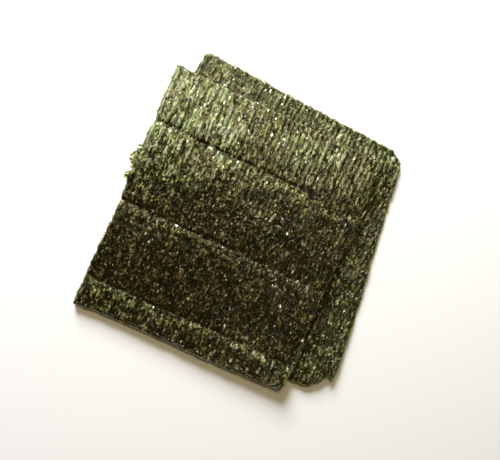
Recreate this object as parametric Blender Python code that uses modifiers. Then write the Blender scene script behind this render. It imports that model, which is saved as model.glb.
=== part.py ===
"""Nori sheet: a thin sheet of pressed, dried seaweed folded double over one crease.

Metres, +Z up.  The origin is the middle of the footprint at table height.  X runs along
the crease, Y along the fine ribs that the drying mat leaves, and the crease is at the near
(-Y) side.  The top leaf lies over a lower leaf that shows past its far and right edges.
"""
import math

import bmesh
import bpy
from mathutils import Vector, noise

MM = 0.001

# ---- the sheet ------------------------------------------------------------------------
THICKNESS = 0.30            # all lengths below are in millimetres
RIB_PITCH = 4.3             # one raised rib of the mat's print and the hollow beside it
RIB_HEIGHT = 0.25           # half the height from hollow to crest
GRAIN = 0.14                # pits and lumps of the pressed seaweed
RAGGED = 0.55               # how far the cut rim strays from its line
CREASE_LENGTH = 94.6        # width of the top leaf at the crease
CREASE_RADIUS = 1.15        # middle of the sheet, round the turn
CREASE_STEPS = 4
CREASE_LEFT = 1.75          # height of the crease's middle at its left end
CREASE_RIGHT = 3.6          # the same at its right end, where the sheet springs up

# ---- top leaf -------------------------------------------------------------------------
TOP_LENGTH = 105.7
TOP_LEAN = -0.021           # sideways drift of its ribs per millimetre of length
TOP_FAR_SLOPE = 0.016       # its far edge runs slightly askew
STRING_LINES = (12.4, 46.8, 82.0)    # furrows pressed in by the mat's strings
STRING_DEPTH = 0.42
STRING_WIDTH = 0.85
PANEL_ARCH = 0.60           # rise of the sheet between two furrows
CURL_REACH = 12.0           # how far the spring of the crease is felt
REST_HEIGHTS = ((0.0, 2.5), (12.4, 2.6), (46.8, 3.2), (82.0, 3.8), (107.5, 2.2))
FRINGE = ((64.6, 2.6, 1.5), (56.2, 1.8, 1.0))    # scraps at the left edge: place, reach, size

# ---- lower leaf -----------------------------------------------------------------------
LOWER_LENGTH = 116.1
LOWER_LEAN = 0.050
LOWER_FAR_SLOPE = -0.020
LOWER_RIGHT_X = 114.6       # its right edge, cut oblique to the ribs
LOWER_RIGHT_START = 20.0
LOWER_RIGHT_SLOPE = -0.155
LOWER_RIGHT_BULGE = 0.7
CORNER_START = 108.5        # far right corner, worn round
CORNER_CURVE = 0.09
TORN_BASE = 5.7             # torn near edge beyond the end of the crease
TORN_START = 102.0
TORN_CURVE = 0.085
TORN_TOP = 14.2
TIP_START = 112.2           # the last point left standing at the tear
TIP_DROP = 0.55
FLAT_X = (22.0, 78.0)       # where the sheet lies flat on the table
FLAT_Y = (36.0, 92.0)
FLAT_FADE = 12.0
EDGE_LIFT = 0.75            # rise of its right edge off the table
FAR_RISE = 0.6              # swell just inside its far edge

TOP_ROWS = (3.0, 6.0, 9.2, 11.1, 12.4, 13.7, 17.5, 22.0, 26.5, 31.0, 35.5, 40.0, 43.5, 45.5, 46.8,
            48.1, 52.0, 56.2, 60.4, 64.6, 69.0, 74.0, 78.2, 80.7, 82.0, 83.3, 87.5, 92.5, 97.5,
            102.0)
LOWER_ROWS = (3.0, 6.0, 10.0, 14.5, 20.0, 27.0, 34.0, 43.0, 53.0, 64.0, 75.0, 85.0, 94.0, 102.0,
              108.0, 112.0)

COLUMN = RIB_PITCH / 2.0
TOP_COLUMNS = round(CREASE_LENGTH / COLUMN)
LOWER_COLUMNS = math.ceil(LOWER_RIGHT_X / COLUMN)
STEP_X = CREASE_LENGTH / TOP_COLUMNS


def smooth(low, high, value):
    """0 at low and beyond it, 1 at high and beyond it, with an even bend between."""
    f = min(1.0, max(0.0, (value - low) / (high - low)))
    return f * f * (3.0 - 2.0 * f)


def bell(value, width):
    """A rounded hump, 1 in its middle."""
    return math.exp(-(value / width) ** 2)


def wander(x, y, size, seed):
    """Slow change from -1 to 1 over lengths of about size."""
    return noise.noise(Vector((x / size + 7.3 * seed, y / size - 3.1 * seed, 1.7 * seed)))


def jagged(place, seed):
    """Uneven step of the rim at one vertex."""
    return RAGGED * (wander(place, 0.0, 1.3, seed) + 0.8 * wander(place, 0.0, 5.0, seed + 1))


def crease_line(x):
    """Nearest reach of the crease at this place along it."""
    ends = 0.6 * bell(x - CREASE_LENGTH, 6.0) - 0.5 * bell(x, 4.0)
    return 0.15 + ends + 0.40 * wander(x, 0.0, 14.0, 3) + 0.30 * wander(x, 0.0, 4.0, 4)


def crease_middle(x):
    """Height of the turn's middle above the table."""
    span = min(1.0, max(0.0, x / CREASE_LENGTH))
    return CREASE_LEFT + (CREASE_RIGHT - CREASE_LEFT) * span ** 1.4


def rib(column, x, y):
    """Rib print: crest and hollow on alternate columns, uneven in strength, with the grain."""
    side = 1.0 if column % 2 else -1.0
    return side * RIB_HEIGHT * (0.75 + 0.55 * wander(x, y, 11.0, 5)) + GRAIN * wander(x, y, 1.7, 7)


def rest_height(y):
    """Level of the top leaf before its arches and furrows."""
    for (y0, z0), (y1, z1) in zip(REST_HEIGHTS, REST_HEIGHTS[1:]):
        if y <= y1:
            return z0 + (z1 - z0) * smooth(y0, y1, y)
    return REST_HEIGHTS[-1][1]


def arch(y):
    """Swell of the sheet between the furrows."""
    stops = STRING_LINES + (STRING_LINES[-1] + 35.0,)
    for low, high in zip(stops, stops[1:]):
        if low < y < high:
            return math.sin(math.pi * (y - low) / (high - low))
    return 0.0


def furrow(x, y):
    """Depth of the string furrows, the far one fading out to the right."""
    depth = 0.0
    for index, line in enumerate(STRING_LINES):
        strength = 1.0 if index < 2 else 1.0 - 0.8 * smooth(45.0, 70.0, x)
        wobble = 0.5 * wander(x, 0.0, 12.0, 20 + index)
        depth += strength * bell(y - line - wobble, STRING_WIDTH)
    return STRING_DEPTH * depth


def top_height(x, y):
    """Middle of the top leaf above the table, without its ribs."""
    rest = rest_height(y)
    spring = crease_middle(x) + CREASE_RADIUS - rest_height(0.0)
    settle = 1.0 - smooth(84.0, 106.0, y)
    crumple = 0.40 * wander(x, y, 17.0, 9) + 0.16 * wander(x, y, 7.0, 11)
    swell = PANEL_ARCH * arch(y) * (0.85 + 0.5 * wander(x, y, 30.0, 13)) * (0.35 + 0.65 * settle)
    calm = smooth(1.0, 8.0, y)
    return rest + spring * bell(y, CURL_REACH) + swell + calm * (settle * crumple - furrow(x, y))


def flat_share(x, y):
    """0 on the flat patch under the sheet and 1 well away from it."""
    out_x = max(FLAT_X[0] - x, x - FLAT_X[1], 0.0)
    out_y = max(FLAT_Y[0] - y, y - FLAT_Y[1], 0.0)
    return smooth(0.0, FLAT_FADE, math.hypot(out_x, out_y))


def lower_height(x, y):
    """Middle of the lower leaf above the table, without its ribs."""
    held = 1.0 - smooth(95.5, 101.0, x)
    spring = (crease_middle(x) - CREASE_RADIUS - THICKNESS / 2) * bell(y, CURL_REACH - 1.0)
    free = 1.1 * smooth(30.0, 6.0, y)
    far = FAR_RISE * bell(y - 103.5, 8.5) * (0.8 + 0.5 * wander(x, y, 16.0, 15))
    right = EDGE_LIFT * smooth(96.0, 112.0, x) * (0.8 + 0.9 * wander(x, y, 18.0, 17))
    lift = held * spring + (1.0 - held) * free + far + right
    return THICKNESS / 2 + flat_share(x, y) * max(0.0, lift)


def top_edges(y):
    """Left and right limits of the top leaf at this length."""
    left = TOP_LEAN * y + 0.9 * bell(y - 42.0, 14.0) + 0.7 * bell(y - STRING_LINES[2], 2.2)
    left -= sum(size * bell(y - place, reach) for place, reach, size in FRINGE)
    right = CREASE_LENGTH + TOP_LEAN * y + 2.0 * bell(y - 15.5, 10.0)
    return left, right


def lower_right(y):
    """Right limit of the lower leaf, with its rounded far corner."""
    cut = LOWER_RIGHT_X + LOWER_RIGHT_SLOPE * max(0.0, y - LOWER_RIGHT_START)
    cut += LOWER_RIGHT_BULGE * bell(y - 45.0, 20.0)
    return cut - CORNER_CURVE * max(0.0, y - CORNER_START) ** 2


def lower_near(x):
    """Near limit of the lower leaf beyond the end of the crease."""
    torn = TORN_BASE + TORN_CURVE * max(0.0, x - TORN_START) ** 2
    return min(TORN_TOP, torn) - TIP_DROP * max(0.0, x - TIP_START)


def top_point(column, y):
    """A vertex of the top leaf."""
    left, right = top_edges(y)
    x = left + (right - left) * column / TOP_COLUMNS
    far = TOP_LENGTH + TOP_FAR_SLOPE * x
    if y > TOP_ROWS[-1]:
        y = far + jagged(column * 3.7, 31)
    if column in (0, TOP_COLUMNS):
        x += jagged(y * 2.3, 33 + column)
    near = smooth(14.0, 0.0, y)
    z = top_height(x, y) + rib(column, x, y)
    return Vector((x, y + crease_line(x) * near, z))


def turn_point(column, angle):
    """A vertex of the crease: angle runs from a quarter turn (top) to minus that (lower)."""
    x = CREASE_LENGTH * column / TOP_COLUMNS
    radius = CREASE_RADIUS + rib(column, x, 0.0)
    y = CREASE_RADIUS - radius * math.cos(angle) + crease_line(x)
    return Vector((x, y, crease_middle(x) + radius * math.sin(angle)))


def lower_point(column, y):
    """A vertex of the lower leaf, held inside its outline."""
    start = STEP_X * column
    on_far = y > LOWER_ROWS[-1]
    if on_far:
        y = LOWER_LENGTH + LOWER_FAR_SLOPE * start - (1.3 if column == 0 else 0.0)
    reach = start + LOWER_LEAN * max(y, TORN_BASE)
    on_right = reach > lower_right(y) - 0.35 * STEP_X
    if on_right and on_far:
        y = LOWER_LENGTH + LOWER_FAR_SLOPE * LOWER_RIGHT_X
    if column > TOP_COLUMNS:
        y = max(y, lower_near(LOWER_RIGHT_X if on_right else start))
    x = lower_right(y) if on_right else start + LOWER_LEAN * y
    if on_far and not on_right:
        y += jagged(column * 3.1, 51)
    elif on_right or column == 0:
        x += jagged(y * 2.7, 53)
    clear = (RIB_HEIGHT + GRAIN) * smooth(0.0, 9.0, y)
    print_mark = 0.0 if on_right else rib(column, x, y)
    z = lower_height(x, y) + flat_share(x, y) * (clear - print_mark)
    near = smooth(14.0, 0.0, y) if column <= TOP_COLUMNS else 0.0
    return Vector((x, y + crease_line(x) * near, z))


def remove_all():
    """Start from an empty scene."""
    for item in list(bpy.data.objects):
        bpy.data.objects.remove(item, do_unlink=True)


def sheet_surface():
    """The middle surface of the folded sheet, from one grid of columns and rows."""
    rows = [("top", y) for y in (TOP_LENGTH,) + tuple(reversed(TOP_ROWS))]
    for step in range(CREASE_STEPS + 1):
        rows.append(("turn", math.pi * (0.5 - step / CREASE_STEPS)))
    lower = len(rows)
    rows += [("lower", y) for y in LOWER_ROWS + (LOWER_LENGTH,)]
    count = len(rows) - 1
    mesh = bmesh.new()
    bmesh.ops.create_grid(mesh, x_segments=LOWER_COLUMNS, y_segments=count, size=0.5)
    cells = {}
    for vertex in mesh.verts:
        column = round((vertex.co.x + 0.5) * LOWER_COLUMNS)
        row = round((vertex.co.y + 0.5) * count)
        cells[vertex] = (column, row)
    spare = []
    for face in mesh.faces:
        right = max(cells[v][0] for v in face.verts)
        first = min(cells[v][1] for v in face.verts)
        if right > TOP_COLUMNS and first < lower:
            spare.append(face)
    for vertex in mesh.verts:
        column, row = cells[vertex]
        kind, place = rows[row]
        if kind == "top":
            point = top_point(min(column, TOP_COLUMNS), place)
        elif kind == "turn":
            point = turn_point(min(column, TOP_COLUMNS), place)
        else:
            point = lower_point(column, place)
        vertex.co = point * MM
    bmesh.ops.delete(mesh, geom=spare, context="FACES")
    bmesh.ops.remove_doubles(mesh, verts=mesh.verts, dist=0.02 * MM)
    bmesh.ops.dissolve_degenerate(mesh, edges=mesh.edges, dist=0.02 * MM)
    bmesh.ops.triangulate(mesh, faces=mesh.faces, quad_method="ALTERNATE")
    bmesh.ops.recalc_face_normals(mesh, faces=mesh.faces)
    return mesh


def centre(mesh):
    """Put the middle of the footprint on the origin."""
    xs = [v.co.x for v in mesh.verts]
    ys = [v.co.y for v in mesh.verts]
    shift = Vector(((min(xs) + max(xs)) / 2, (min(ys) + max(ys)) / 2, 0.0))
    for vertex in mesh.verts:
        vertex.co -= shift


def seaweed():
    """Dark green-brown, slightly glossy seaweed."""
    material = bpy.data.materials.new("nori_seaweed")
    material.use_nodes = True
    shader = material.node_tree.nodes["Principled BSDF"]
    shader.inputs["Base Color"].default_value = (0.042, 0.040, 0.014, 1.0)
    shader.inputs["Roughness"].default_value = 0.5
    return material


def build():
    """The whole object, in a collection of its own."""
    remove_all()
    holder = bpy.data.collections.new("nori_sheet_parts")
    bpy.context.scene.collection.children.link(holder)
    mesh = sheet_surface()
    centre(mesh)
    data = bpy.data.meshes.new("nori_sheet")
    mesh.to_mesh(data)
    mesh.free()
    sheet = bpy.data.objects.new("nori_sheet", data)
    holder.objects.link(sheet)
    data.materials.append(seaweed())
    shell = sheet.modifiers.new("thickness", "SOLIDIFY")
    shell.thickness = THICKNESS * MM
    shell.offset = 0.0
    shell.use_even_offset = False
    shell.use_quality_normals = True


build()
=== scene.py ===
"""Nori sheet folded double over one crease, on a pale floor.

The shape functions work in millimetres in the crease frame: x along the crease from its
left end, y along the ribs away from the crease, z up from the table.  SHIFT moves that
frame to the row frame, whose origin is the middle of the footprint.
"""

import collections
import math
import random

import bpy
import numpy as np
from mathutils import Matrix, Vector, noise


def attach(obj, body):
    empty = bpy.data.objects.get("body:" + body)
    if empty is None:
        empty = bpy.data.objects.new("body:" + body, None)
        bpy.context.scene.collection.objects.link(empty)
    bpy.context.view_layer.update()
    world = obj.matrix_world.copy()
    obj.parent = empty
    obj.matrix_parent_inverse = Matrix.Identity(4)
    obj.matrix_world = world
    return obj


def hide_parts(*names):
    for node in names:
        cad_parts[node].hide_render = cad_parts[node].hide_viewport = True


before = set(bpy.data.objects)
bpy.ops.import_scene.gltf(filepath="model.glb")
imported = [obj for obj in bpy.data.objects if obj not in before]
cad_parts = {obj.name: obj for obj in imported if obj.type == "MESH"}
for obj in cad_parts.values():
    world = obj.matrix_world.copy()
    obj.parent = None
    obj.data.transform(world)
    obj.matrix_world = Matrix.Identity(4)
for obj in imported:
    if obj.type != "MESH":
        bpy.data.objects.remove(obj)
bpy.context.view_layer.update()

MM = 0.001
SHIFT = (56.0862, 57.7532)  # the row frame's origin, in the crease frame
NODE = "nori_sheet"

# ---- the sheet, as in the frame ---------------------------------------------------------
THICKNESS = 0.30            # all lengths are in millimetres
CREASE_LENGTH = 94.6        # width of the top leaf at the crease
CREASE_RADIUS = 1.15        # middle of the sheet, round the turn
CREASE_LEFT = 1.75          # height of the crease's middle at its left end
CREASE_RIGHT = 3.6          # the same at its right end, where the sheet springs up

TOP_LENGTH = 105.7
TOP_LEAN = -0.021           # sideways drift of its ribs per millimetre of length
TOP_FAR_SLOPE = 0.016       # its far edge runs slightly askew
STRING_LINES = (12.4, 46.8, 82.0)   # furrows pressed in by the mat's strings
STRING_APART = 35.0         # from the last furrow to where the next would be
STRING_WIDTH = 0.85
PANEL_ARCH = 0.60           # rise of the sheet between two furrows
CURL_REACH = 12.0           # how far the spring of the crease is felt
# places along the top leaf, and its level there
REST_HEIGHTS = ((0.0, 2.5), (12.4, 2.6), (46.8, 3.2), (82.0, 3.8), (107.5, 2.2))
FRINGE = ((64.6, 2.6, 1.5), (56.2, 1.8, 1.0))   # scraps at the left edge: place, reach, size

LOWER_LENGTH = 116.1
LOWER_LEAN = 0.050
LOWER_FAR_SLOPE = -0.020
LOWER_RIGHT_X = 114.6       # its right edge, cut oblique to the ribs
LOWER_RIGHT_START = 20.0
LOWER_RIGHT_SLOPE = -0.155
LOWER_RIGHT_BULGE = 0.7
CORNER_START = 108.5        # far right corner, worn round
CORNER_CURVE = 0.09
TORN_BASE = 5.7             # torn near edge beyond the end of the crease
TORN_START = 102.0
TORN_CURVE = 0.085
TORN_TOP = 14.2
TIP_START = 112.2           # the last point left standing at the tear
TIP_DROP = 0.55
FLAT_X = (22.0, 78.0)       # where the sheet lies flat on the table
FLAT_Y = (36.0, 92.0)
FLAT_FADE = 12.0
EDGE_LIFT = 0.75            # rise of its right edge off the table
FAR_RISE = 0.6              # swell just inside its far edge

# ---- the scene's own meshes -------------------------------------------------------------
TOP_CELL = 0.47             # spacing of the top leaf's points
LOWER_CELL = 0.52           # the same on the lower leaf
TURN_START = 1.6            # place along the leaves where the turn begins and ends
TURN_ARC = 3.6              # length of the sheet round the turn
TURN_STEPS = 11
LOWER_START = (TURN_START, 2.1, 2.6, 3.1)   # rows of the lower leaf made with the turn
LOWER_FIRST = 2.2           # where the lower leaf's own piece begins
RAG_REACH = 1.6             # how far in from a rim its raggedness is felt
RIM_REACH = 1.2             # how far in from a rim the relief is weaker
WAVER_REACH = 14.0          # how far the waver of the crease's line is felt
LOWER_RISE = 0.39           # lift of the lower leaf that keeps its hollows off the table

# ---- fine relief of the dried seaweed ---------------------------------------------------
STRING_DEPTH = 0.46         # a little deeper than in the frame, under finer ribs
STRING_LUMPS = 0.16         # uneven lumps along the furrows
CREASE_LUMPS = 0.24         # the same round the turn
RIB_PITCH = 2.15            # one raised rib of the mat's print and the hollow beside it
RIB_HEIGHT = 0.185          # half the height from hollow to crest
PAIR_HEIGHT = 0.10          # by how much every other rib stands out
TURN_RIBBED = 0.5           # strength of the ribs round the turn
STREAKS = 0.13              # height of the narrow streaks along the ribs
DENTS = 0.10                # height of the wider dents
SMALL_FLAKES = (1.5, 2.1, 0.09)         # width, length and steepness of the flakes in the mesh
LARGE_FLAKES = (2.7, 3.9, 0.05)
FLAKE_MOST = 0.12           # limit on the height of a flake
FLAKES_FAR = 0.32           # share of the flakes left where the ribs are clear
LIFT_MOST = 0.52            # limit on all relief together
LOWER_RELIEF = 0.9          # share of the relief on the lower leaf
FLAT_RELIEF = 0.12          # share of that where it lies flat
TOP_SEED = 60
LOWER_SEED = 80
LATTICE_SALT = (374761393, 668265263, 974634777, 1274126177)    # large odd numbers

# ---- loose flakes at the rims and the crease --------------------------------------------
LEFTWARD = math.pi
LEFT_TUFTS = ((65.3, 1.7, 18, 1.1), (56.6, 1.1, 12, 1.0),       # middle, spread, count, size
              (60.5, 3.0, 9, 0.7), (2.5, 1.0, 3, 0.7))
LEFT_FLAKES = (26, 0.5, LEFTWARD)   # count, size and the way they point, in radians from +X
RIGHT_FLAKES = (34, 0.55, 0.2)
FAR_FLAKES = (30, 0.5, 1.5)
CREASE_FLAKES = (44, 0.40, 4.7)
LEFT_SINK = 0.1             # how far the flakes sit below the middle of the top leaf
RIGHT_RISE = 0.25           # how far they sit above the middle of the lower leaf
FAR_LEVEL = 0.7             # their level along the far edge
EDGE_FLAKE_THICK = 0.10
EDGE_FLAKE_CORNERS = 7
EDGE_FLAKE_LOWEST = 0.05    # lowest level of a corner above the table

# ---- colours, as linear red, green and blue ---------------------------------------------
# each leaf's speck colour stands for light specks of the weed and partly for painted glints
TOP_COLOURS = {"dark": (0.0028, 0.0019, 0.0005), "dusk": (0.006, 0.0040, 0.0014),
               "brown": (0.086, 0.061, 0.033), "olive": (0.087, 0.070, 0.017),
               "moss": (0.066, 0.076, 0.032), "speck_and_glint": (0.21, 0.19, 0.135)}
# the lower leaf's colours are lighter than the top leaf's: partly painted sheen
LOWER_COLOURS = {"dark": (0.005, 0.0045, 0.0023), "dusk": (0.010, 0.0082, 0.0040),
                 "brown": (0.120, 0.102, 0.065), "olive": (0.128, 0.132, 0.050),
                 "moss": (0.095, 0.126, 0.067), "speck_and_glint": (0.23, 0.22, 0.15)}
PAINTED_SHEEN_GREEN = (0.202, 0.276, 0.156)      # painted sheen: the greenish light of the far part, the crease strip and the furrow crests
RIM_OLIVE = (0.11, 0.12, 0.03)          # single blades along the rims
BLADE_DARK = (0.10, 0.10, 0.015)        # loose flakes, from dark to light
BLADE_LIGHT = (0.40, 0.43, 0.09)
PAPER = (0.74, 0.79, 0.93)
DULL_CAST = (0.97, 1.0, 0.40)           # tint of the dark gaps and of the bright flecks
BRIGHT_CAST = (0.99, 1.0, 1.25)
GLINT_TINT = (0.82, 1.0, 0.84)

# ---- materials --------------------------------------------------------------------------
FLECKS = 1.75               # flecks per millimetre across the ribs, and half that along them
DRIFT = 1.1                 # how far flakes and flecks are pushed out of line
CREST_HIGHLIGHT_TONE = 0.22           # gain in tone per millimetre of relief: painted highlight on crests, painted shade in hollows
CREST_HIGHLIGHT_TONE_FAR = 0.52       # the same, added where the sheen is painted
PATCH_TONE = 0.38           # spread in tone over patches, flakes and flecks
FLAKE_TONE = 0.11
FLECK_TONE = 0.20
PALE_TONE = 0.095           # gain in tone where the sheen is painted
TONE_LOW = 0.41             # tone at which the bright colours begin, and where they are full
TONE_HIGH = 0.73
TONE_POWER = 3.1
DULL_RANGE = (0.34, 0.54)   # tones from the darkest gaps to the dusk around them
HUE_SPREAD = 0.20
OLIVE_FROM = (0.42, 0.50)   # hues over which brown turns to olive, and olive to moss
MOSS_FROM = (0.59, 0.67)
PALE_GAIN = (2.65, 3.62, 4.8)
PALE_EVEN = 0.42            # share of the even green in the painted sheen
LOWER_PAINTED_SHEEN = 0.12           # painted sheen over the whole lower leaf
FLECK_SPREAD = 1.2          # spread in brightness from fleck to fleck
SPECK_AND_GLINT_FROM = 0.88           # the top share of the flecks are light specks, partly painted glints
SPECK_AND_GLINT_RADIUS = (0.45, 0.15)             # from its rim to its full colour
RIM_WIDTH = (0.9, 0.05)     # distance from a rim at which its olive begins, and is full
RIM_PATCHES = (0.40, 0.60, 0.15, 0.9)   # noise over which that olive grows, and its shares
GLOSS_RANGE = (0.36, 0.62)  # noise over which the roughness grows
ROUGH_LOW = 0.20
ROUGH_HIGH = 0.28
BASE_IOR = 1.5
COAT_FROM = 0.35            # random numbers between which a flake's coat grows
COAT_TO = 0.85
COAT_LOW = 0.05
COAT_HIGH = 0.85
COAT_ROUGH = 0.16
COAT_IOR = 1.6
GAP_COAT = 0.2              # share of the coat left in the dark gaps
GAP_RANGE = (0.36, 0.50)    # tones over which the coat comes back
FLECK_STEEP = 0.85          # tilt of the steepest flecks
FLECK_EVEN = 0.20           # tilt that every fleck has
GRAIN_BUMP = 0.10           # height of the grain, and where the sheen is painted
GRAIN_BUMP_PALE = 0.04
PATTERN_STEP = 9.0          # length that one unit of a pattern's shift stands for
BLADE_ROUGH = 0.4
PAPER_ROUGH = 0.9
PAPER_SPECULAR = 0.1

# ---- surroundings, in metres and watts where a line says nothing else -------------------
WINDOW = {"plan": (-0.60, 0.80), "height_deg": 22.5, "distance": 1.0, "size": (0.42, 0.40),
          "power": 29.2, "colour": (1.0, 0.975, 0.88)}
LAMP = {"plan": (-0.36, 0.93), "height_deg": 67.2, "distance": 0.360, "size": (0.15, 0.09),
        "power": 0.50, "colour": (1.0, 0.81, 0.40)}
ROOM_COLOUR = (1.0, 0.60, 0.12)
ROOM_FADE = (0.20, 0.95, 0.24, 0.024)   # from the walls to the ceiling: heights, strengths
HORIZON_COLOUR = (1.0, 0.96, 0.88)
HORIZON_FADE = (0.13, 0.24)             # heights between which the pale horizon ends
HORIZON_POWER = 0.50
FLOOR_HALF = 0.85
FLOOR_DROP = 0.03           # millimetres, so that the floor doesn't touch the underside
CAMERA_SPOT = (18.5424, 66.7863, 251.5787)      # millimetres, in the crease frame
CAMERA_AXES = ((0.89639, 0.42961, 0.10914),     # right, up and back
               (-0.42124, 0.90228, -0.09197),
               (-0.13799, 0.03647, 0.98976))
CAMERA_LENS = 43.2          # millimetres
CAMERA_SENSOR = 36.0        # millimetres
CAMERA_RANGE = (0.01, 10.0)


def smooth(low, high, value):
    """0 at low and beyond it, 1 at high and beyond it, with an even bend between."""
    f = np.clip((value - low) / (high - low), 0.0, 1.0)
    return f * f * (3.0 - 2.0 * f)


def bell(value, width):
    """A rounded hump, 1 in its middle."""
    return np.exp(-(value / width) ** 2)


def wander_one(x, y, size, seed):
    """Soft noise from about -1 to 1, with waves of this size in millimetres."""
    place = Vector((x / size + 7.3 * seed, y / size - 3.1 * seed, 1.7 * seed))
    return noise.noise(place)


wander = np.vectorize(wander_one, otypes=[float])


def lattice(across, along, seed):
    """A repeatable direction for each corner of a square lattice."""
    n = (across * LATTICE_SALT[0] + along * LATTICE_SALT[1] + seed * LATTICE_SALT[2]) & 0xFFFFFFFF
    n = ((n ^ (n >> 13)) * LATTICE_SALT[3]) & 0xFFFFFFFF
    return ((n ^ (n >> 16)) & 0xFFFF) * (2.0 * math.pi / 65536.0)


def lumps(u, v, seed):
    """Smooth uneven field from about -1 to 1, with lumps one unit apart."""
    iu = np.floor(u).astype(np.int64)
    iv = np.floor(v).astype(np.int64)
    fu, fv = u - iu, v - iv
    wu = fu ** 3 * (fu * (fu * 6.0 - 15.0) + 10.0)
    wv = fv ** 3 * (fv * (fv * 6.0 - 15.0) + 10.0)
    total = 0.0
    for du in (0, 1):
        for dv in (0, 1):
            angle = lattice(iu + du, iv + dv, seed)
            slope = np.cos(angle) * (fu - du) + np.sin(angle) * (fv - dv)
            total = total + slope * (wu if du else 1.0 - wu) * (wv if dv else 1.0 - wv)
    return 1.45 * total


def jagged(place, seed):
    """Uneven rim: slow waves, small teeth and fine fibres, in millimetres."""
    slow = 0.44 * lumps(place / 2.4, place * 0.0 + 0.37 * seed, seed)
    teeth = 0.26 * lumps(place / 1.05, place * 0.0 + 0.71 * seed, seed + 1)
    fibres = 0.20 * lumps(place / 0.55, place * 0.0 + 0.53 * seed, seed + 2)
    return slow + teeth + fibres


def crease_line(x):
    """Nearest reach of the crease at this place along it."""
    ends = 0.6 * bell(x - CREASE_LENGTH, 6.0) - 0.5 * bell(x, 4.0)
    return 0.15 + ends + 0.40 * wander(x, 0.0, 14.0, 3) + 0.30 * wander(x, 0.0, 4.0, 4)


def crease_middle(x):
    """Height of the turn's middle above the table."""
    span = np.clip(x / CREASE_LENGTH, 0.0, 1.0)
    return CREASE_LEFT + (CREASE_RIGHT - CREASE_LEFT) * span ** 1.4


def rest_height(y):
    """Level of the top leaf before its arches and furrows."""
    level = np.full(np.shape(y), REST_HEIGHTS[-1][1])
    for (y0, z0), (y1, z1) in reversed(list(zip(REST_HEIGHTS, REST_HEIGHTS[1:]))):
        level = np.where(y <= y1, z0 + (z1 - z0) * smooth(y0, y1, y), level)
    return level


def arch(y):
    """Swell of the sheet between the furrows."""
    stops = STRING_LINES + (STRING_LINES[-1] + STRING_APART,)
    swell = np.zeros(np.shape(y))
    for low, high in zip(stops, stops[1:]):
        share = np.clip((y - low) / (high - low), 0.0, 1.0)
        swell = swell + np.sin(math.pi * share)
    return swell


def furrow(x, y):
    """Depth of the string furrows, the far one fading out to the right."""
    depth = 0.0
    for index, line in enumerate(STRING_LINES):
        strength = 1.0 if index < 2 else 1.0 - 0.8 * smooth(45.0, 70.0, x)
        strength = strength * np.clip(0.7 + 1.3 * wander(x, 0.0, 4.3, 70 + index), 0.1, 1.3)
        wobble = 0.5 * wander(x, 0.0, 12.0, 20 + index) + 0.5 * wander(x, 0.0, 3.1, 40 + index)
        depth = depth + strength * bell(y - line - wobble, STRING_WIDTH)
    return STRING_DEPTH * depth


def by_string(x, y):
    """1 along the furrows, where the ribs give way to uneven lumps, falling to 0 beside them."""
    near = [bell(y - line + 0.8 - 0.5 * wander(x, 0.0, 12.0, 20 + index), 1.7)
            for index, line in enumerate(STRING_LINES)]
    return np.clip(sum(near), 0.0, 1.0)


def top_height(x, y):
    """Middle of the top leaf above the table, without its relief."""
    rest = rest_height(y)
    spring = crease_middle(x) + CREASE_RADIUS - REST_HEIGHTS[0][1]
    settle = 1.0 - smooth(84.0, 106.0, y)
    crumple = 0.40 * wander(x, y, 17.0, 9) + 0.16 * wander(x, y, 7.0, 11)
    swell = PANEL_ARCH * arch(y) * (0.85 + 0.5 * wander(x, y, 30.0, 13)) * (0.35 + 0.65 * settle)
    calm = smooth(1.0, 8.0, y)
    return rest + spring * bell(y, CURL_REACH) + swell + calm * (settle * crumple - furrow(x, y))


def flat_share(x, y):
    """0 on the flat patch under the sheet and 1 well away from it."""
    out_x = np.maximum(np.maximum(FLAT_X[0] - x, x - FLAT_X[1]), 0.0)
    out_y = np.maximum(np.maximum(FLAT_Y[0] - y, y - FLAT_Y[1]), 0.0)
    return smooth(0.0, FLAT_FADE, np.hypot(out_x, out_y))


def lower_height(x, y):
    """Middle of the lower leaf above the table, without its relief."""
    held = 1.0 - smooth(95.5, 101.0, x)
    spring = (crease_middle(x) - CREASE_RADIUS - THICKNESS / 2) * bell(y, CURL_REACH - 1.0)
    free = 1.1 * smooth(30.0, 6.0, y)
    far = FAR_RISE * bell(y - 103.5, 8.5) * (0.8 + 0.5 * wander(x, y, 16.0, 15))
    right = EDGE_LIFT * smooth(96.0, 112.0, x) * (0.8 + 0.9 * wander(x, y, 18.0, 17))
    lift = held * spring + (1.0 - held) * free + far + right
    return THICKNESS / 2 + flat_share(x, y) * np.maximum(0.0, lift)


def top_left(y):
    """Left limit of the top leaf at this length."""
    left = TOP_LEAN * y + 0.9 * bell(y - 42.0, 14.0) + 0.7 * bell(y - STRING_LINES[2], 2.2)
    for place, reach, size in FRINGE:
        left = left - size * bell(y - place, reach)
    return left


def top_right(y):
    """Right limit of the top leaf at this length."""
    return CREASE_LENGTH + TOP_LEAN * y + 2.0 * bell(y - 15.5, 10.0)


def lower_right(y):
    """Right limit of the lower leaf, with its rounded far corner."""
    cut = LOWER_RIGHT_X + LOWER_RIGHT_SLOPE * np.maximum(0.0, y - LOWER_RIGHT_START)
    cut = cut + LOWER_RIGHT_BULGE * bell(y - 45.0, 20.0)
    return cut - CORNER_CURVE * np.maximum(0.0, y - CORNER_START) ** 2


def lower_near(x):
    """Near limit of the lower leaf beyond the end of the crease."""
    torn = TORN_BASE + TORN_CURVE * np.maximum(0.0, x - TORN_START) ** 2
    return np.minimum(TORN_TOP, torn) - TIP_DROP * np.maximum(0.0, x - TIP_START)


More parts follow.
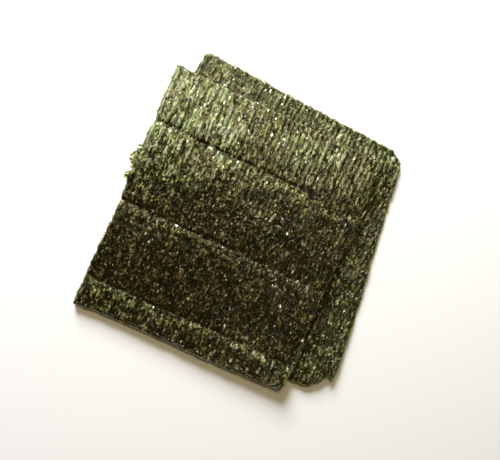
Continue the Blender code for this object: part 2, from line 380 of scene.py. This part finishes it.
def flakes(u, v, wide, long, steep, seed):
    """Height in millimetres of small flat flakes, wide by long, that lie at uneven tilts."""
    a = u / wide
    b = v / long
    iu = np.floor(a).astype(np.int64)
    iv = np.floor(b).astype(np.int64)
    nearest = np.full(np.shape(a), 9.0)
    height = np.zeros(np.shape(a))
    for du in (-1, 0, 1):
        for dv in (-1, 0, 1):
            place = lattice(iu + du, iv + dv, seed)
            turn = lattice(iu + du, iv + dv, seed + 50)
            share = lattice(iu + du, iv + dv, seed + 90) / (2.0 * math.pi)
            across = a - (iu + du + 0.5 + 0.42 * np.cos(place))
            along = b - (iv + dv + 0.5 + 0.42 * np.sin(place))
            tilt = steep * np.sqrt(-2.0 * np.log(0.98 * share + 0.02))
            plane = tilt * (np.cos(turn) * across * wide + 0.6 * np.sin(turn) * along * long)
            apart = across ** 2 + along ** 2
            height = np.where(apart < nearest, plane, height)
            nearest = np.minimum(apart, nearest)
    return np.clip(height, -FLAKE_MOST, FLAKE_MOST)


def relief(u, v, ribbed, seed):
    """Fine relief in millimetres: u across the ribs, v along them, ribbed their strength."""
    sway = 0.55 * lumps(u / 9.0, v / 21.0, seed) + 0.28 * lumps(u / 3.1, v / 6.0, seed + 1)
    phase = math.pi * (u + sway) / RIB_PITCH
    crest = 1.0 - 2.0 * (1.0 - np.abs(np.sin(phase))) ** 1.4
    broken = np.clip(0.70 + 1.3 * lumps(u / 1.9, v / 4.6, seed + 2), 0.0, 1.6)
    ribs = ribbed * broken * (RIB_HEIGHT * crest + PAIR_HEIGHT * np.sin(phase + 0.6))
    streaks = STREAKS * lumps(u / 1.1, v / 5.0, seed + 3)
    dents = DENTS * lumps(u / 3.4, v / 4.2, seed + 5)
    bent_u = u + 0.7 * lumps(u / 2.1, v / 2.3, seed + 4)
    bent_v = v + 0.7 * lumps(u / 2.2, v / 2.4, seed + 6)
    small = flakes(bent_u, bent_v, *SMALL_FLAKES, seed + 20)
    large = flakes(bent_u, bent_v, *LARGE_FLAKES, seed + 21)
    share = smooth(0.6, 1.15, ribbed)
    made = ribs + streaks + dents + (small + large) * (1.0 - (1.0 - FLAKES_FAR) * share)
    return np.clip(made, -LIFT_MOST, LIFT_MOST)


def top_ribbed(x, y):
    """How clearly the mat's ribs show on the top leaf: most at the far end."""
    far = smooth(62.0, 92.0, y)
    right = smooth(45.0, 90.0, x)
    return np.clip(0.62 + 0.66 * far + 0.60 * right + 0.4 * wander(x, y, 11.0, 5), 0.15, 1.4)


def top_painted_sheen(x, y):
    """Painted sheen on the top leaf: most in its far part, more to the left, along the crease, with
    painted highlights just nearer than the furrows and painted shade just beyond them.
    """
    # painted sheen of the far part, weaker to the right
    far = smooth(54.0, 94.0, y + 0.36 * (40.0 - x)) * (1.0 - 0.42 * smooth(12.0, 50.0, x))
    # painted sheen along the strip by the crease
    near = 0.22 * smooth(13.0, 10.0, y)
    # painted light over the left part
    left = 0.18 * smooth(34.0, 6.0, x)
    # painted highlight just nearer than each furrow, painted shade just beyond it
    crest = 0.40 * by_string(x, y + 1.3) ** 2 - 0.45 * by_string(x, y - 1.0) ** 2
    return np.clip((far + near + left + crest) * (0.85 + 0.7 * wander(x, y, 11.0, 6)), 0.0, 1.0)


def top_rough(x, y):
    """How much the flecks of the top leaf stand up: most in its near right part."""
    right = 0.5 * smooth(30.0, 75.0, x) * smooth(75.0, 40.0, y)
    far = 0.2 * smooth(55.0, 85.0, y)
    crest = 0.3 * by_string(x, y + 1.3)
    return 1.0 + right + far + crest


def cloud_object(name, points, faces, fields):
    """A mesh object in the row frame from points in millimetres in the crease frame."""
    data = bpy.data.meshes.new(name)
    moved = (np.asarray(points) - np.array((SHIFT[0], SHIFT[1], 0.0))) * MM
    data.from_pydata(moved.tolist(), [], faces)
    for key, values in fields.items():
        values = np.asarray(values, np.float32)
        if values.ndim == 1:
            data.attributes.new(key, "FLOAT", "POINT").data.foreach_set("value", values)
        else:
            layer = data.attributes.new(key, "FLOAT_VECTOR", "POINT")
            layer.data.foreach_set("vector", values.ravel())
    data.polygons.foreach_set("use_smooth", [True] * len(data.polygons))
    data.update()
    made = bpy.data.objects.new(name, data)
    bpy.context.scene.collection.objects.link(made)
    return made


def grid_faces(ids):
    """Faces between neighbouring rows and columns, leaving out the collapsed ones."""
    faces = []
    rows, columns = ids.shape
    for r in range(rows - 1):
        for c in range(columns - 1):
            ring = (ids[r, c], ids[r, c + 1], ids[r + 1, c + 1], ids[r + 1, c])
            ring = tuple(dict.fromkeys(int(i) for i in ring))
            if len(ring) > 2:
                faces.append(ring)
    return faces


def shell(sheet):
    """Give a middle surface the thickness of the sheet."""
    modifier = sheet.modifiers.new("thickness", "SOLIDIFY")
    modifier.thickness = THICKNESS * MM
    modifier.offset = 0.0
    modifier.use_even_offset = False
    modifier.use_quality_normals = True
    return sheet


def top_far_part(share):
    """The top leaf, from its far edge to the turn."""
    rows = round((TOP_LENGTH - TURN_START) / TOP_CELL)
    s, f = np.meshgrid(share, np.linspace(1.0, 0.0, rows))
    y = TOP_LENGTH + (TURN_START - TOP_LENGTH) * (1.0 - f)
    left, right = top_left(y), top_right(y)
    x = left + (right - left) * s
    far = TOP_LENGTH + TOP_FAR_SLOPE * x + jagged(x, 31)
    y = y + (far - TOP_LENGTH) * smooth(0.93, 1.0, f)
    x = x + jagged(y, 33) * smooth(RAG_REACH, 0.0, x - left) * smooth(0.0, 5.0, y)
    x = x + jagged(y, 36) * smooth(RAG_REACH, 0.0, right - x) * smooth(0.0, 5.0, y)
    u = x - TOP_LEAN * y
    lift = relief(u, y, top_ribbed(x, y) * (1.0 - 0.7 * by_string(x, y)), TOP_SEED)
    lift = lift + STRING_LUMPS * by_string(x, y) * lumps(x / 2.3, y / 1.5, 68)
    rim = np.minimum(np.minimum(x - left, right - x), np.where(f > 0.5, far - y, 50.0))
    lift = lift * (0.55 + 0.45 * smooth(0.0, RIM_REACH, rim))
    y_out = y + crease_line(x) * smooth(WAVER_REACH, 0.0, y)
    return {"x": x, "y": y_out, "z": top_height(x, y) + lift, "relief": lift, "rim": rim,
            "u": u, "v": y, "rough": top_rough(x, y), "pale": top_painted_sheen(x, y)}


def turn_part(share):
    """The turn, from the top leaf round to the lower one."""
    s, angle = np.meshgrid(share, np.linspace(90.0, -90.0, TURN_STEPS) * math.pi / 180.0)
    side = np.cos(angle)
    x = CREASE_LENGTH * s + jagged(angle * 2.0, 33) * 0.5 * (s == 0.0)
    v = (angle / math.pi - 0.5) * TURN_ARC
    lift = relief(x, v, TURN_RIBBED, TOP_SEED)
    lift = lift + CREASE_LUMPS * side * lumps(x / 0.95, v / 0.8, 91)
    radius = CREASE_RADIUS + lift
    rim = np.minimum(np.minimum(x, CREASE_LENGTH - x), 0.1 + 1.4 * (1.0 - side))
    # the pale share paints light on the outer face of the turn, which lies in shade
    return {"x": x, "y": CREASE_RADIUS - radius * side + crease_line(x),
            "z": crease_middle(x) + radius * np.sin(angle), "relief": lift, "rim": rim,
            "u": x, "v": v, "rough": top_rough(x, 0.0) * (1.0 + 1.8 * side), "pale": 0.35 * side}


def under_part(share):
    """The start of the lower leaf, just under the turn."""
    s, y = np.meshgrid(share, np.array(LOWER_START))
    x = CREASE_LENGTH * s + LOWER_LEAN * y
    v = -TURN_ARC - y
    lift = relief(x, v, TURN_RIBBED, TOP_SEED)
    rise = flat_share(x, y) * (LOWER_RISE * smooth(0.0, 9.0, y) - lift)
    return {"x": x, "y": y + crease_line(x) * smooth(WAVER_REACH, 0.0, y),
            "z": lower_height(x, y) + rise, "relief": lift,
            "rim": np.minimum(x, CREASE_LENGTH - x), "u": x, "v": v,
            "rough": top_rough(x, 0.0), "pale": np.zeros(x.shape)}


def top_leaf():
    """The top leaf, the turn and the first few millimetres under it, as one piece."""
    columns = round(CREASE_LENGTH / TOP_CELL)
    share = np.arange(columns + 1) / columns
    parts = (top_far_part(share), turn_part(share), under_part(share))
    whole = {key: np.vstack([part[key] for part in parts]) for key in parts[0]}
    ids = np.arange(whole["x"].size).reshape(whole["x"].shape)
    flat = {key: values.ravel() for key, values in whole.items()}
    points = np.stack([flat["x"], flat["y"], flat["z"]], axis=1)
    fields = {key: flat[key] for key in ("relief", "rim", "rough", "pale")}
    fields["weave"] = np.stack([flat["u"], flat["v"], np.zeros(ids.size)], axis=1)
    return shell(cloud_object("top_leaf", points, grid_faces(ids), fields))


def point_numbers(clipped):
    """Numbers for a grid of points; those that the tear cuts off a column share the last one's."""
    ids = np.arange(clipped.size).reshape(clipped.shape)
    for c in range(clipped.shape[1]):
        start = int(np.argmin(clipped[:, c])) if clipped[0, c] else 0
        ids[:start, c] = ids[max(0, start - 1), c]
    return ids


def lower_leaf():
    """The leaf underneath, from just under the turn to its far and right edges."""
    columns = round(LOWER_RIGHT_X / LOWER_CELL)
    share = np.arange(columns + 1) / columns
    rows = round((LOWER_LENGTH - LOWER_FIRST) / LOWER_CELL)
    s, f = np.meshgrid(share, np.linspace(0.0, 1.0, rows + 1))
    y = LOWER_FIRST + (LOWER_LENGTH - LOWER_FIRST) * f
    left = LOWER_LEAN * y + smooth(113.5, 116.1, y)
    right = lower_right(y)
    x = left + (right - left) * s
    near = lower_near(x) + 0.8 * jagged(x, 71) * smooth(96.0, 99.0, x)
    free = x > CREASE_LENGTH + 0.6
    clipped = free & (y < near)
    far = LOWER_LENGTH + LOWER_FAR_SLOPE * (x - LOWER_LEAN * y) + jagged(x, 51)
    y = y + (far - LOWER_LENGTH) * smooth(0.95, 1.0, f)
    y = np.where(clipped, near, y)
    rim_left = jagged(y, 53) * smooth(RAG_REACH, 0.0, x - left) * smooth(0.0, 6.0, y)
    rim_right = 0.9 * jagged(y, 55) * smooth(RAG_REACH, 0.0, right - x)
    x = x + rim_left + rim_right
    u = x - LOWER_LEAN * y
    ribbed = np.clip(1.15 + 0.5 * wander(x, y, 12.0, 25), 0.5, 1.6)
    rim = np.minimum(np.minimum(x - left, right - x), np.abs(far - y))
    rim = np.where(free, np.minimum(rim, y - near), rim)
    lift = relief(u, y, ribbed, LOWER_SEED) * (0.5 + 0.5 * smooth(0.0, RIM_REACH, rim))
    away = flat_share(x, y)
    z = lower_height(x, y) + away * LOWER_RISE * smooth(0.0, 9.0, y)
    z = z + (FLAT_RELIEF + (1.0 - FLAT_RELIEF) * away) * lift * LOWER_RELIEF
    z = np.maximum(z, THICKNESS / 2)
    y_out = y + crease_line(x) * smooth(WAVER_REACH, 0.0, y) * (x < CREASE_LENGTH + 3.0)
    # painted sheen: a little over the whole leaf, more along its far edge and to the right
    pale = LOWER_PAINTED_SHEEN + smooth(98.0, 108.0, y) * (0.12 + 0.26 * smooth(40.0, 90.0, x))
    ids = point_numbers(clipped)
    used = np.unique(ids)
    place = np.zeros(x.size, np.int64)
    place[used] = np.arange(used.size)
    points = np.stack([x.ravel(), y_out.ravel(), z.ravel()], axis=1)
    weave = np.stack([u.ravel(), y.ravel(), np.ones(x.size)], axis=1)
    fields = {"relief": lift.ravel()[used], "rim": rim.ravel()[used], "weave": weave[used],
              "rough": 1.0 + 0.35 * smooth(70.0, 30.0, y.ravel()[used]),
              "pale": pale.ravel()[used]}
    return shell(cloud_object("lower_leaf", points[used], grid_faces(place[ids]), fields))


def edge_flake(draw, middle, size, outward):
    """A small ragged flake, thin and tilted, drawn out along one direction."""
    count = EDGE_FLAKE_CORNERS
    turns = [2.0 * math.pi * (k + 0.5 * draw.random()) / count for k in range(count)]
    reach = [size * (0.55 + 0.6 * draw.random()) for _ in turns]
    slope_x = 0.5 * (draw.random() - 0.5)
    slope_y = 0.5 * (draw.random() - 0.5)
    points = []
    for half in (0.5, -0.5):
        for turn, radius in zip(turns, reach):
            along = radius * math.cos(turn)
            across = 0.6 * radius * math.sin(turn)
            x = along * math.cos(outward) - across * math.sin(outward)
            y = along * math.sin(outward) + across * math.cos(outward)
            z = slope_x * x + slope_y * y + half * EDGE_FLAKE_THICK
            points.append((middle[0] + x, middle[1] + y, max(middle[2] + z, EDGE_FLAKE_LOWEST)))
    sides = [(k, (k + 1) % count, count + (k + 1) % count, count + k) for k in range(count)]
    return points, [tuple(range(count)), tuple(range(2 * count - 1, count - 1, -1))] + sides


def edge_flakes():
    """Small yellow-green flakes along the rims and the crease, most of them at the left."""
    draw = random.Random(11)
    places = []
    for middle, spread, count, size in LEFT_TUFTS:
        for _ in range(count):
            y = draw.gauss(middle, spread)
            x = float(top_left(y)) + 0.3 - 0.9 * size * draw.random()
            places.append((x, y, float(top_height(x, y)) - LEFT_SINK, size, LEFTWARD))
    count, size, outward = LEFT_FLAKES
    for _ in range(count):
        y = draw.uniform(12.0, 104.0)
        x = float(top_left(y)) - 0.3 * draw.random()
        places.append((x, y, float(top_height(x, y)) - LEFT_SINK, size, outward))
    count, size, outward = RIGHT_FLAKES
    for _ in range(count):
        y = draw.uniform(24.0, 108.0)
        x = float(lower_right(y)) + 0.25 * draw.random() - 0.15
        places.append((x, y, float(lower_height(x, y)) + RIGHT_RISE, size, outward))
    count, size, outward = FAR_FLAKES
    for _ in range(count):
        x = draw.uniform(7.0, float(lower_right(LOWER_LENGTH)) - 4.0)
        y = LOWER_LENGTH + LOWER_FAR_SLOPE * (x - LOWER_LEAN * LOWER_LENGTH) + 0.3 * draw.random()
        places.append((x, y, FAR_LEVEL, size, outward))
    count, size, outward = CREASE_FLAKES
    outside = CREASE_RADIUS + 0.5 * THICKNESS
    for _ in range(count):
        x = draw.uniform(1.0, CREASE_LENGTH - 1.0)
        angle = math.radians(draw.uniform(20.0, 60.0))
        y = float(crease_line(x)) + CREASE_RADIUS - outside * math.cos(angle)
        z = float(crease_middle(x)) + outside * math.sin(angle)
        places.append((x, y, z, size, outward))
    points, faces = [], []
    for x, y, z, size, outward in places:
        turn = outward + draw.gauss(0.0, 0.5)
        made, sides = edge_flake(draw, (x, y, z), size * (0.6 + 0.7 * draw.random()), turn)
        faces += [tuple(len(points) + k for k in side) for side in sides]
        points += made
    weave = [(x, y, 2.0) for x, y, _ in points]
    return cloud_object("edge_flakes", points, faces, {"weave": weave})


# ---- node trees and materials -----------------------------------------------------------
# three random numbers of a cell, the distance to its middle and the way there
Cells = collections.namedtuple("Cells", "first second third apart way")


def rgb(colour):
    """A colour with full opacity, as the nodes take it."""
    return (*colour, 1.0)


class Nodes:
    """Short-hand for building a node tree."""

    def __init__(self, tree):
        self.tree = tree

    def add(self, kind, **values):
        node = self.tree.nodes.new(kind)
        for key, value in values.items():
            setattr(node, key, value)
        return node

    def put(self, node, key, value):
        """Link or set one input of a node."""
        if isinstance(value, bpy.types.NodeSocket):
            self.tree.links.new(value, node.inputs[key])
        else:
            node.inputs[key].default_value = value

    def field(self, key, kind="Fac"):
        """A value that the mesh carries at its points."""
        return self.add("ShaderNodeAttribute", attribute_name=key).outputs[kind]

    def math(self, operation, a, b=0.0, c=0.0):
        node = self.add("ShaderNodeMath", operation=operation)
        for index, value in enumerate((a, b, c)):
            self.put(node, index, value)
        return node.outputs[0]

    def sway(self, base, value, spread):
        """base, moved by half the spread either way as value runs from 0 to 1."""
        offset = self.math("MULTIPLY", self.math("SUBTRACT", value, 0.5), spread)
        return self.math("ADD", base, offset)

    def ramp(self, value, low, high, first=0.0, last=1.0):
        """first at low and beyond it, last at high and beyond it, with an even bend between."""
        node = self.add("ShaderNodeMapRange", interpolation_type="SMOOTHSTEP")
        for index, number in enumerate((value, low, high, first, last)):
            self.put(node, index, number)
        return node.outputs[0]

    def mix(self, share, first, second):
        """A colour between two; sockets 0, 6 and 7 are the share and the colours."""
        node = self.add("ShaderNodeMix", data_type="RGBA")
        for index, value in ((0, share), (6, first), (7, second)):
            self.put(node, index, value)
        return node.outputs[2]

    def stretch(self, vector, per_mm, shift=(0.0, 0.0, 0.0), turn=0.0):
        """Texture coordinates for a pattern of so many waves per millimetre across and along."""
        node = self.add("ShaderNodeMapping", vector_type="TEXTURE")
        self.put(node, 0, vector)
        node.inputs["Scale"].default_value = (1.0 / per_mm[0], 1.0 / per_mm[1], 1.0)
        node.inputs["Location"].default_value = [PATTERN_STEP * part for part in shift]
        node.inputs["Rotation"].default_value = (0.0, 0.0, turn)
        return node.outputs[0]

    def vector(self, operation, a, b, c=(0.0, 0.0, 0.0)):
        node = self.add("ShaderNodeVectorMath", operation=operation)
        for index, value in enumerate((a, b, c)):
            self.put(node, index, value)
        return node.outputs[1] if operation == "DOT_PRODUCT" else node.outputs[0]

    def cells(self, vector):
        """What a texture of random cells, one unit apart, says at each point."""
        node = self.add("ShaderNodeTexVoronoi")
        self.put(node, "Vector", vector)
        node.inputs["Scale"].default_value = 1.0
        split = self.add("ShaderNodeSeparateColor")
        self.put(split, 0, node.outputs["Color"])
        way = self.vector("SUBTRACT", vector, node.outputs["Position"])
        return Cells(*split.outputs[:3], node.outputs["Distance"], way)

    def tilt(self, cells):
        """Height of flat cells that each lean their own way."""
        lean = self.add("ShaderNodeCombineXYZ")
        self.put(lean, 0, self.math("SUBTRACT", cells.first, 0.5))
        self.put(lean, 1, self.math("SUBTRACT", cells.second, 0.5))
        return self.vector("DOT_PRODUCT", lean.outputs[0], cells.way)

    def noise(self, vector, detail=2.0, roughness=0.5, output=0):
        node = self.add("ShaderNodeTexNoise")
        for key, value in (("Vector", vector), ("Scale", 1.0), ("Detail", detail),
                           ("Roughness", roughness)):
            self.put(node, key, value)
        return node.outputs[output]


def new_material(name):
    """A material with its node short-hand and its shader."""
    material = bpy.data.materials.new(name)
    material.use_nodes = True
    return material, Nodes(material.node_tree), material.node_tree.nodes["Principled BSDF"]


def seaweed_colour(n, colours, clump, tone, painted_sheen, flake, fleck):
    """Dark gaps, brown, olive and mossy patches, painted sheen, light specks that are partly
    painted glints, and olive rims.
    """
    weave = n.field("weave", "Vector")
    tint = n.noise(n.stretch(weave, (0.24, 0.18), (13.0, 4.0, 0.0)), 4.0, 0.65)
    hue = n.sway(tint, flake.second, HUE_SPREAD)
    bright = n.mix(n.ramp(hue, *OLIVE_FROM), rgb(colours["brown"]), rgb(colours["olive"]))
    bright = n.mix(n.ramp(hue, *MOSS_FROM), bright, rgb(colours["moss"]))
    # painted sheen: the colours made brighter and greener and mixed with an even green
    sheen_colour = n.mix(PALE_EVEN, n.vector("MULTIPLY", bright, PALE_GAIN), rgb(PAINTED_SHEEN_GREEN))
    bright = n.mix(painted_sheen, bright, sheen_colour)
    fleck_gain = n.math("MULTIPLY_ADD", fleck.first, FLECK_SPREAD, 1.0 - FLECK_SPREAD / 2)
    bright = n.vector("MULTIPLY", bright, fleck_gain)
    dull = n.mix(n.ramp(tone, *DULL_RANGE), rgb(colours["dark"]), rgb(colours["dusk"]))
    share = n.math("POWER", n.ramp(tone, TONE_LOW, TONE_HIGH), TONE_POWER)
    cast = n.mix(share, rgb(DULL_CAST), rgb(BRIGHT_CAST))
    base = n.vector("MULTIPLY", n.mix(share, dull, bright), cast)
    # light specks of the weed, partly painted glints
    speck_and_glint = n.math("MULTIPLY", n.ramp(fleck.third, SPECK_AND_GLINT_FROM, 1.0),
                   n.ramp(fleck.apart, *SPECK_AND_GLINT_RADIUS))
    base = n.mix(speck_and_glint, base, rgb(colours["speck_and_glint"]))
    edge = n.math("MULTIPLY", n.ramp(n.field("rim"), *RIM_WIDTH), n.ramp(clump, *RIM_PATCHES))
    return n.mix(edge, base, rgb(RIM_OLIVE))


def seaweed_bump(n, grain, painted_sheen, fleck):
    """Flecks that lean their own way, a few of them steeply, and a fine grain."""
    steep = n.math("MULTIPLY", n.math("POWER", fleck.third, 3.0), FLECK_STEEP / FLECKS)
    steep = n.math("ADD", steep, FLECK_EVEN / FLECKS)
    steep = n.math("MULTIPLY", steep, n.field("rough"))
    lift = n.math("MULTIPLY", n.tilt(fleck), steep)
    fine = n.ramp(painted_sheen, 0.0, 0.7, GRAIN_BUMP, GRAIN_BUMP_PALE)
    bump = n.add("ShaderNodeBump")
    bump.inputs["Strength"].default_value = 1.0
    bump.inputs["Distance"].default_value = MM
    n.put(bump, "Height", n.math("MULTIPLY_ADD", grain, fine, lift))
    return bump.outputs[0]


def seaweed(name, colours):
    """Pressed and dried seaweed: overlapping flakes and flecks with wet-looking glints, and painted
    sheen, highlights and shade in its colour.
    """
    material, n, shader = new_material(name)
    weave = n.field("weave", "Vector")
    drift = n.noise(n.stretch(weave, (0.45, 0.40), (3.0, 9.0, 0.0)), 3.0, 0.6, "Color")
    drift = n.vector("MULTIPLY_ADD", drift, (DRIFT, DRIFT, 0.0), weave)
    patch = n.noise(n.stretch(weave, (0.13, 0.10)), 4.0, 0.65)
    clump = n.noise(n.stretch(weave, (0.62, 0.30), (11.0, 6.0, 0.0)), 5.0, 0.75)
    grain = n.noise(n.stretch(weave, (2.1, 0.85), (5.0, 1.0, 0.0), 0.15), 2.0, 0.7)
    flake = n.cells(n.stretch(drift, (0.62, 0.34), (1.0, 2.0, 0.0), 0.1))
    fleck = n.cells(n.stretch(drift, (FLECKS, 0.5 * FLECKS), (4.0, 7.0, 0.0), -0.1))
    # share of painted sheen carried by the mesh
    painted_sheen = n.field("pale")
    tone = n.math("ADD", n.math("MULTIPLY", clump, 0.5), n.math("MULTIPLY", grain, 0.5))
    # crests of the relief lighter, hollows darker: painted highlight and painted shade
    crest_highlight_gain = n.math("MULTIPLY_ADD", painted_sheen, CREST_HIGHLIGHT_TONE_FAR, CREST_HIGHLIGHT_TONE)
    tone = n.math("ADD", tone, n.math("MULTIPLY", n.field("relief"), crest_highlight_gain))
    tone = n.sway(tone, patch, PATCH_TONE)
    tone = n.sway(tone, flake.first, FLAKE_TONE)
    tone = n.sway(tone, fleck.third, FLECK_TONE)
    # lighter where the sheen is painted
    tone = n.math("ADD", tone, n.math("MULTIPLY", painted_sheen, PALE_TONE))
    n.put(shader, "Base Color", seaweed_colour(n, colours, clump, tone, painted_sheen, flake, fleck))
    gloss = n.noise(n.stretch(weave, (0.9, 0.5), (2.0, 31.0, 0.0)), 2.0, 0.6)
    n.put(shader, "Roughness", n.ramp(gloss, *GLOSS_RANGE, ROUGH_LOW, ROUGH_HIGH))
    coat = n.ramp(flake.third, COAT_FROM, COAT_TO, COAT_LOW, COAT_HIGH)
    n.put(shader, "Coat Weight", n.math("MULTIPLY", coat, n.ramp(tone, *GAP_RANGE, GAP_COAT, 1.0)))
    bump = seaweed_bump(n, grain, painted_sheen, fleck)
    n.put(shader, "Normal", bump)
    n.put(shader, "Coat Normal", bump)
    shader.inputs["IOR"].default_value = BASE_IOR
    shader.inputs["Specular Tint"].default_value = rgb(GLINT_TINT)
    shader.inputs["Coat Roughness"].default_value = COAT_ROUGH
    shader.inputs["Coat IOR"].default_value = COAT_IOR
    return material


def thin_weed():
    """Single thin blades of the same weed, yellow-green where light comes through."""
    material, n, shader = new_material("nori_thin")
    spots = n.noise(n.stretch(n.field("weave", "Vector"), (1.2, 1.2)), 2.0, 0.6)
    n.put(shader, "Base Color", n.mix(n.ramp(spots, 0.40, 0.60), rgb(BLADE_DARK), rgb(BLADE_LIGHT)))
    shader.inputs["Roughness"].default_value = BLADE_ROUGH
    return material


def paper():
    """The plain matt surface of the floor."""
    material, _, shader = new_material("table_paper")
    shader.inputs["Base Color"].default_value = rgb(PAPER)
    shader.inputs["Roughness"].default_value = PAPER_ROUGH
    shader.inputs["Specular IOR Level"].default_value = PAPER_SPECULAR
    return material


# ---- floor, light and camera ------------------------------------------------------------
def floor():
    """A square floor, a hair below the sheet."""
    data = bpy.data.meshes.new("floor")
    corners = [(x * FLOOR_HALF, y * FLOOR_HALF, -FLOOR_DROP * MM)
               for x, y in ((-1.0, -1.0), (1.0, -1.0), (1.0, 1.0), (-1.0, 1.0))]
    data.from_pydata(corners, [], [(0, 1, 2, 3)])
    data.materials.append(paper())
    made = bpy.data.objects.new("floor", data)
    bpy.context.scene.collection.objects.link(made)


def area_light(name, plan, height_deg, distance, size, power, colour):
    """A rectangular lamp seen from the sheet in this plan direction and at this height."""
    a = math.radians(height_deg)
    flat = Vector((plan[0], plan[1], 0.0)).normalized() * math.cos(a)
    away = Vector((flat.x, flat.y, math.sin(a)))
    data = bpy.data.lights.new(name, "AREA")
    data.shape = "RECTANGLE"
    data.size, data.size_y = size
    data.energy = power
    data.color = colour
    lamp = bpy.data.objects.new(name, data)
    lamp.location = away * distance
    lamp.rotation_mode = "QUATERNION"
    lamp.rotation_quaternion = away.to_track_quat("Z", "Y")
    bpy.context.scene.collection.objects.link(lamp)


def surroundings():
    """A warm dim room with a pale horizon, a low window and a small lamp above the sheet."""
    world = bpy.data.worlds.new("room")
    world.use_nodes = True
    n = Nodes(world.node_tree)
    split = n.add("ShaderNodeSeparateXYZ")
    n.put(split, 0, n.add("ShaderNodeTexCoord").outputs["Generated"])
    height = split.outputs["Z"]
    horizon = n.ramp(height, *HORIZON_FADE, 1.0, 0.0)
    glow = n.math("MULTIPLY_ADD", horizon, HORIZON_POWER, n.ramp(height, *ROOM_FADE))
    back = world.node_tree.nodes["Background"]
    n.put(back, "Color", n.mix(horizon, rgb(ROOM_COLOUR), rgb(HORIZON_COLOUR)))
    n.put(back, "Strength", glow)
    bpy.context.scene.world = world
    area_light("window", **WINDOW)
    area_light("lamp", **LAMP)


def camera():
    """The photograph's view, from nearly straight above."""
    data = bpy.data.cameras.new("camera")
    data.lens = CAMERA_LENS
    data.sensor_width = CAMERA_SENSOR
    data.clip_start, data.clip_end = CAMERA_RANGE
    made = bpy.data.objects.new("camera", data)
    bpy.context.scene.collection.objects.link(made)
    turn = Matrix(CAMERA_AXES).transposed()
    spot = Vector((CAMERA_SPOT[0] - SHIFT[0], CAMERA_SPOT[1] - SHIFT[1], CAMERA_SPOT[2])) * MM
    made.matrix_world = Matrix.Translation(spot) @ turn.to_4x4()
    bpy.context.scene.camera = made


def main():
    """Everything in the scene; all three pieces stand for the one node."""
    for piece, material in ((top_leaf(), seaweed("nori_top", TOP_COLOURS)),
                            (lower_leaf(), seaweed("nori_low", LOWER_COLOURS)),
                            (edge_flakes(), thin_weed())):
        piece.data.materials.append(material)
        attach(piece, "root")
        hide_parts(NODE)
    floor()
    surroundings()
    camera()
    bpy.context.scene.view_settings.view_transform = "Standard"


main()
